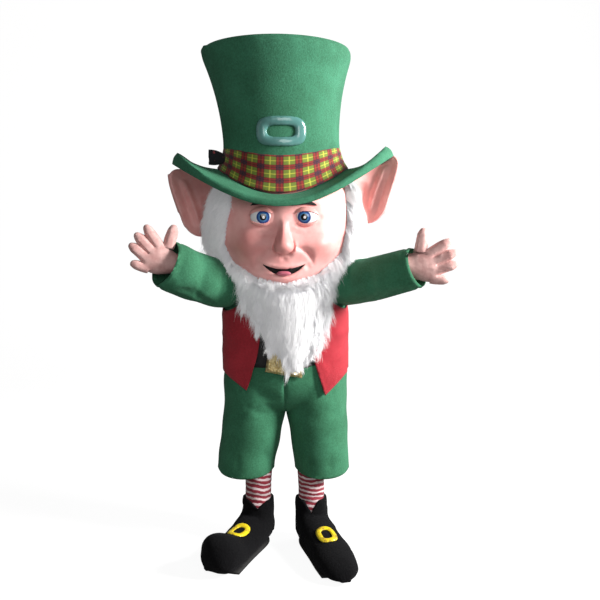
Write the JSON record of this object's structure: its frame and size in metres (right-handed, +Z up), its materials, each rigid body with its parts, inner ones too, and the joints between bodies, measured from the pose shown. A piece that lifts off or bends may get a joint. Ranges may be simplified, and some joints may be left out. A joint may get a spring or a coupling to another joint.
{
  "type": "leprechaun costume",
  "caption": "Worn leprechaun mascot costume: padded top hat, bearded head, waistcoat, suit, stockings and buckled shoes.",
  "frame": {"origin": "midway between the wearer's shoulders, at shoulder height", "axes": "+Z up along the body, the front faces -Y, the wearer's left side is at +X"},
  "size_m": [1.2403, 0.7392, 2.072],
  "materials": {
    "felt": "matte felt",
    "suit": "matte brushed cloth",
    "vest": "matte twill",
    "belt": "satin",
    "gold_lame": "glossy, crinkled",
    "skin_shell": "soft satin paint",
    "white_fur": "long pile",
    "tartan": "woven tartan",
    "hat_buckle": "gloss",
    "black_trim": "matte",
    "eye": "gloss",
    "tongue": "satin paint",
    "stocking": "striped knit",
    "shoe_fleece": "short pile",
    "shoe_sole": "matte",
    "yellow_buckle": "gloss",
    "glove": "matte jersey"
  },
  "bodies": {
    "root": {"hat_crown": "felt", "hat_brim": "felt", "hat_top": "felt", "hat_band": "tartan", "hat_buckle": "hat_buckle", "band_bow": "tartan", "eye_right": "eye", "eye_left": "eye", "head_shell": "skin_shell", "brow_right": "black_trim", "brow_left": "black_trim", "mouth_liner": "black_trim", "tongue": "tongue", "ear_right": "skin_shell", "ear_left": "skin_shell", "beard": "white_fur", "hair_back": "white_fur", "suit_front": "suit", "suit_back": "suit", "sleeve_right": "suit", "sleeve_left": "suit", "vest_front_right": "vest", "vest_front_left": "vest", "vest_back": "vest", "belt": "belt", "belt_buckle": "gold_lame", "breeches_front_right": "suit", "breeches_back_right": "suit", "breeches_front_left": "suit", "breeches_back_left": "suit", "stocking_right": "stocking", "stocking_left": "stocking", "shoe_upper_right": "shoe_fleece", "shoe_sole_right": "shoe_sole", "shoe_buckle_right": "yellow_buckle", "shoe_upper_left": "shoe_fleece", "shoe_sole_left": "shoe_sole", "shoe_buckle_left": "yellow_buckle", "glove_right": "glove", "glove_left": "glove"}
  },
  "joints": []
}
